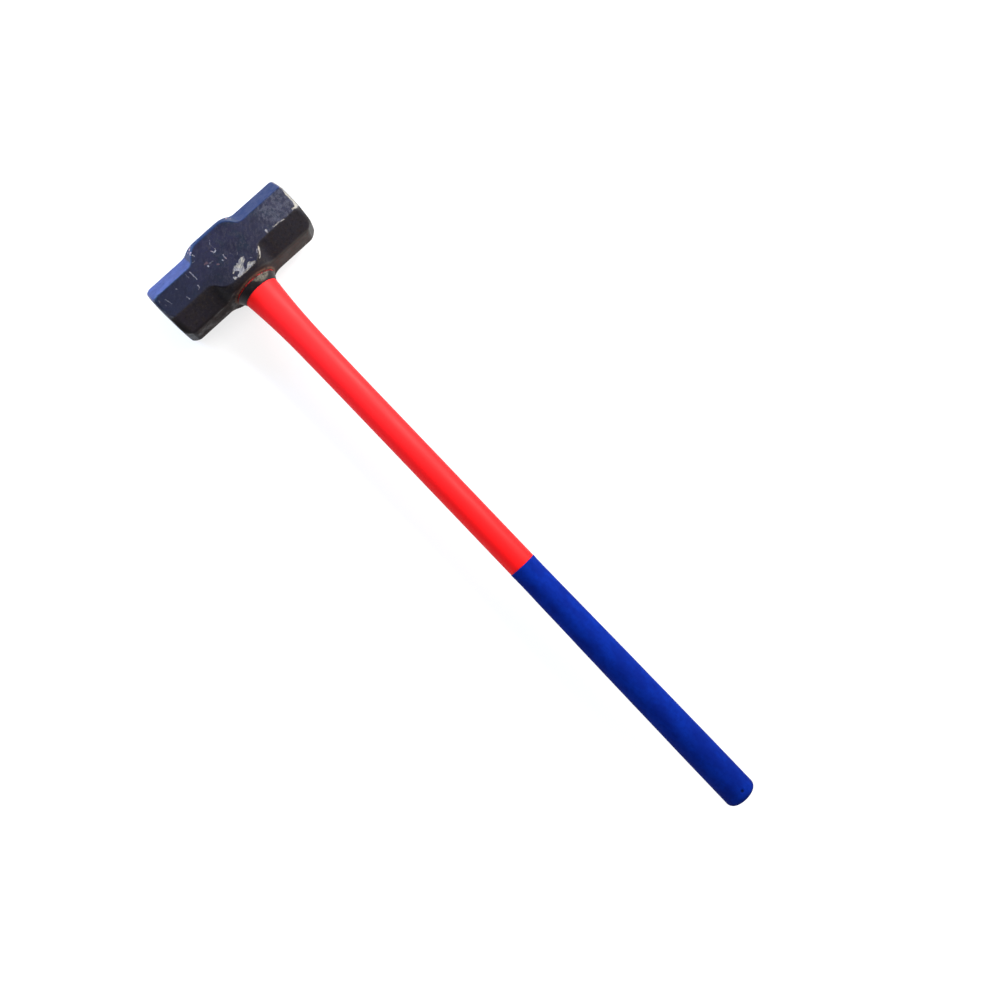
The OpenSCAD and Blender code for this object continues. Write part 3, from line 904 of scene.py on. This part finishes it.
    # fine scratches
    shaken = m.shaken(2.2, 1.3)
    patchy = m.mul(m.attr("upper"), m.ramp(m.noise(1.5, 3.0, 0.6), 0.36, 0.60, 0.40, 1.0))
    paint = m.mix(m.mul(m.strokes(STROKES, shaken), patchy), paint, (0.21, 0.20, 0.215))
    paint = m.mix(m.mul(m.strokes(RUSTY, shaken), patchy), paint, (0.15, 0.080, 0.085))
    colour = m.mix(bare, paint, steel)
    rough = m.ramp(mid, 0.3, 0.7, 0.36, 0.48)
    rough = m.add(rough, m.mul(speck, 0.15))
    rough = m.high(rough, m.mul(dust, 0.75))
    rough = m.ramp(bare, 0.0, 1.0, rough, m.ramp(fine, 0.3, 0.7, 0.45, 0.62), kind="LINEAR")
    height = m.add(m.mul(mid, 0.11), m.mul(fine, 0.060))
    height = m.add(height, m.mul(grain, 0.018))
    height = m.sub(height, m.mul(bare, 0.06))
    m.set(Base_Color=colour, Roughness=rough, Metallic=m.mul(bare, 0.35))
    m.bsdf.inputs["Specular IOR Level"].default_value = 0.11
    m.bump(height)
    return m.mat


def red_material():
    m = Tree("red_moulded_plastic")
    x, y, z = m.xyz()
    along = m.stretched((0.12, 1.0, 1.0))
    broad = m.noise(30, 2.0, 0.5, vector=along)
    streak = m.noise(2.2, 3.0, 0.6, vector=m.stretched((0.05, 1.0, 1.0)))
    fine = m.noise(0.9, 2.0, 0.5)
    base = m.mix(m.ramp(broad, 0.35, 0.65), (0.80, 0.0078, 0.0096), (0.88, 0.0102, 0.0118))
    # painted sheen: the red is pinker near the head and deeper towards the grip, where the sky's sheen fades along the
    # handle
    base = m.mix(m.ramp(x, 0.10, 0.46, 0.0, 0.75), base, (0.80, 0.0030, 0.0040))
    # light scuffs, mostly near the head where misses land
    near = m.ramp(x, 0.05, 0.33, 1.0, 0.25)
    scuff = m.mul(m.ramp(m.noise(3.4, 4.0, 0.7), 0.66, 0.74), near)
    scratch = m.mul(m.ramp(streak, 0.70, 0.76), 0.35)
    base = m.mix(m.mul(scuff, 0.5), base, (0.90, 0.040, 0.038))
    base = m.mix(scratch, base, (0.92, 0.030, 0.030))
    # a little dirt caught against the collar and the grip
    dirt = m.high(m.ramp(x, 0.0505, 0.0482), m.ramp(x, 0.4870, 0.4896))
    dirt = m.mul(dirt, m.ramp(m.noise(4.0, 3.0, 0.6), 0.35, 0.7, 0.15, 0.6))
    base = m.mix(dirt, base, (0.20, 0.008, 0.008))
    rim = m.mul(m.ramp(x, 0.0440, 0.0430), m.ramp(m.noise(4.0, 3.0, 0.65), 0.40, 0.58, 0.66, 0.98))
    base = m.mix(rim, base, (0.022, 0.006, 0.006))
    rough = m.ramp(m.noise(6.0, 3.0, 0.6, vector=along), 0.3, 0.7, 0.50, 0.58)
    rough = m.add(rough, m.mul(scuff, 0.1))
    m.set(Base_Color=base, Roughness=rough)
    m.bsdf.inputs["Specular IOR Level"].default_value = 0.12
    m.bump(m.add(m.mul(m.noise(4.5, 2.0, 0.5, vector=along), 0.020),
                 m.add(m.mul(fine, 0.004), m.mul(scuff, -0.015))))
    return m.mat


def grip_material():
    m = Tree("blue_moulded_rubber")
    x, y, z = m.xyz()
    blot = m.noise(17, 3.0, 0.55, vector=m.stretched((0.55, 1.0, 1.0)))
    mott = m.noise(5.0, 3.0, 0.6)
    grain = m.noise(0.8, 2.0, 0.6)
    pores = m.cells(1.3)
    base = m.mix(m.ramp(blot, 0.36, 0.64), (0.0004, 0.0090, 0.135), (0.0005, 0.0140, 0.180))
    base = m.mix(m.ramp(mott, 0.42, 0.70, 0.0, 0.45), base, (0.0004, 0.0075, 0.110))
    gate = m.ramp(m.attr("gate_mm"), 2.4, 1.2)
    base = m.mix(m.mul(gate, 0.8), base, (0.0004, 0.003, 0.020))
    rough = m.ramp(mott, 0.3, 0.7, 0.74, 0.86)
    m.set(Base_Color=base, Roughness=rough)
    m.bsdf.inputs["Specular IOR Level"].default_value = 0.04
    m.bump(m.add(m.mul(mott, 0.05), m.add(m.mul(grain, 0.020), m.mul(m.ramp(pores, 0.0, 0.3), 0.02))))
    return m.mat


def collar_material():
    m = Tree("black_moulded_rubber")
    broad = m.noise(8, 2.0, 0.5)
    fine = m.noise(1.0, 2.0, 0.5)
    base = m.mix(m.ramp(broad, 0.35, 0.65), (0.0062, 0.0040, 0.0052), (0.0095, 0.0070, 0.0082))
    dust = m.mul(m.ramp(m.noise(3.0, 4.0, 0.65), 0.55, 0.72), 0.5)
    base = m.mix(dust, base, (0.024, 0.022, 0.019))
    # painted highlight: a pale beige patch on the upper side, where the key light's highlight falls
    x, y, z = m.xyz()
    up = m.add(m.mul(y, 0.469), m.mul(m.sub(z, AXIS_Z * 0.001), 0.883))
    painted_highlight = m.mul(m.ramp(m.mul(up, 40.0), 0.935, 0.998), m.ramp(m.noise(2.6, 4.0, 0.65), 0.38, 0.60, 0.20, 1.0))
    base = m.mix(painted_highlight, base, (0.082, 0.073, 0.058))
    m.set(Base_Color=base, Roughness=m.ramp(broad, 0.3, 0.7, 0.34, 0.44))
    m.bsdf.inputs["Specular IOR Level"].default_value = 0.14
    m.bump(m.add(m.mul(m.noise(3.0, 2.0), 0.04), m.mul(fine, 0.008)))
    return m.mat


def bond_material():
    m = Tree("cast_epoxy")
    broad = m.noise(9, 3.0, 0.6, distortion=0.6)
    base = m.mix(m.ramp(broad, 0.35, 0.68), (0.030, 0.018, 0.008), (0.085, 0.052, 0.022))
    base = m.mix(m.ramp(m.noise(1.4, 2.0), 0.64, 0.72), base, (0.16, 0.12, 0.07))
    m.set(Base_Color=base, Roughness=m.ramp(broad, 0.3, 0.7, 0.18, 0.42))
    m.bsdf.inputs["Coat Weight"].default_value = 0.3
    m.bump(m.mul(m.noise(2.2, 2.0), 0.05))
    return m.mat


def core_material():
    m = Tree("pultruded_fibreglass")
    fibre = m.noise(0.9, 3.0, 0.6, vector=m.stretched((0.02, 1.0, 1.0)))
    patch = m.noise(12, 2.0, 0.5)
    base = m.mix(m.ramp(fibre, 0.35, 0.65), (0.50, 0.45, 0.30), (0.68, 0.63, 0.46))
    base = m.mix(m.ramp(patch, 0.5, 0.8, 0.0, 0.4), base, (0.42, 0.36, 0.22))
    m.set(Base_Color=base, Roughness=m.ramp(fibre, 0.3, 0.7, 0.38, 0.60))
    m.bump(m.mul(fibre, 0.03))
    return m.mat


def gasket_material():
    m = Tree("plain_black_rubber")
    n = m.noise(2.0, 3.0, 0.6)
    m.set(Base_Color=m.mix(m.ramp(n, 0.35, 0.65), (0.012, 0.012, 0.012), (0.028, 0.027, 0.026)),
          Roughness=m.ramp(n, 0.3, 0.7, 0.6, 0.8))
    m.bump(m.mul(n, 0.04))
    return m.mat


def dress(ob, mat):
    ob.data.materials.clear()
    ob.data.materials.append(mat)
    for p in ob.data.polygons:
        p.material_index = 0


# ------------------------------------------------------------------ the pieces
head = build_head()
jacket = build_jacket()
collar = build_collar()
grip = build_grip()
bond = build_bond()
for piece, node, slot, mat in (
        (head, "sledge_head", "head_paint", head_material()),
        (jacket, "handle_jacket", "jacket", red_material()),
        (collar, "neck_collar", "collar", collar_material()),
        (grip, "grip_sleeve", "grip", grip_material()),
        (bond, "eye_resin", "resin", bond_material())):
    dress(piece, mat)
    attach(piece, "root")
    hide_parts(node)

# sealed pieces keep their CAD shape
for node, mat in (("handle_core", core_material()), ("eye_gasket", gasket_material())):
    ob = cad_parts[node]
    if ob.material_slots:
        for s in ob.material_slots:
            s.material = mat
    else:
        ob.data.materials.append(mat)


# ------------------------------------------------------------------ floor and light
def pale_floor():
    s = 40.0
    ob = new_mesh("studio_floor", [(-s, -s, 0), (s, -s, 0), (s, s, 0), (-s, s, 0)], [(0, 1, 2, 3)])
    ob.location.z = -0.0002
    m = Tree("pale_floor")
    m.set(Base_Color=(0.22, 0.22, 0.222), Roughness=0.9)
    m.bsdf.inputs["Specular IOR Level"].default_value = 0.0
    m.bsdf.inputs["Emission Color"].default_value = (1.0, 1.0, 1.0, 1.0)
    x, y, z = m.xyz()
    # painted light: the floor glows rather than being lit, 0.76 near the hammer rising to 0.93 away, a painted shade
    # round the hammer
    away = m.math("SQRT", m.add(m.math("POWER", m.sub(x, 0.15), 2.0), m.math("POWER", m.sub(y, 0.10), 2.0)))
    m.put(m.bsdf.inputs["Emission Strength"], m.ramp(away, 0.15, 1.0, 0.76, 0.93, kind="LINEAR"))
    ob.data.materials.append(m.mat)
    return ob


pale_floor()


def soft_light(name, where, aim, size, power, colour=(1, 1, 1), spread=180.0):
    d = bpy.data.lights.new(name, "AREA")
    d.shape = "RECTANGLE"
    d.size, d.size_y = size
    d.energy = power
    d.color = colour
    d.spread = math.radians(spread)
    ob = bpy.data.objects.new(name, d)
    w, a = Vector(where), Vector(aim)
    back = (w - a).normalized()
    # the light's own X lies level, along the handle where it can
    side = Vector((1, 0, 0)) - back * back.x
    if side.length < 0.3:
        side = Vector((0, 1, 0)) - back * back.y
    side.normalize()
    up = back.cross(side)
    ob.matrix_world = Matrix((
        (side.x, up.x, back.x, w.x), (side.y, up.y, back.y, w.y),
        (side.z, up.z, back.z, w.z), (0, 0, 0, 1)))
    scene.collection.objects.link(ob)
    return ob


soft_light("key_side", (0.02, 0.98, 0.64), (0.10, 0.0, 0.036), (0.85, 0.6), 38.0, (1.0, 0.99, 0.97))
soft_light("overhead", (-0.16, -0.15, 1.54), (0.10, -0.02, 0.036), (0.65, 1.5), 13.0, (1.0, 0.99, 0.98))
soft_light("sky_low", (-0.64, -0.24, 0.27), (0.0, -0.03, 0.05), (0.45, 0.35), 14.0, (0.25, 0.50, 1.0))

world = bpy.data.worlds.new("soft_world")
scene.world = world
world.use_nodes = True
bg = world.node_tree.nodes.get("Background") or world.node_tree.nodes.new("ShaderNodeBackground")
bg.inputs["Color"].default_value = (0.92, 0.96, 1.0, 1.0)
# a soft sky, dimmer on the side away from the key light, and even along the horizon
sky = world.node_tree.nodes.new("ShaderNodeSeparateXYZ")
world.node_tree.links.new(world.node_tree.nodes.new("ShaderNodeTexCoord").outputs["Generated"], sky.inputs[0])
strength = None
for socket, limits in ((sky.outputs["Y"], (-0.9, 0.9, 0.12, 0.90)), (sky.outputs["Z"], (0.02, 0.20, 0.60, None))):
    n = world.node_tree.nodes.new("ShaderNodeMapRange")
    world.node_tree.links.new(socket, n.inputs[0])
    for i, v in enumerate(limits):
        if v is None:
            world.node_tree.links.new(strength, n.inputs[4])
        else:
            n.inputs[i + 1].default_value = v
    strength = n.outputs[0]
world.node_tree.links.new(strength, bg.inputs["Strength"])
scene.view_settings.view_transform = "Standard"
scene.view_settings.look = "None"
scene.view_settings.exposure = 0.0
scene.view_settings.gamma = 1.0

# ------------------------------------------------------------------ the end
bpy.context.view_layer.update()
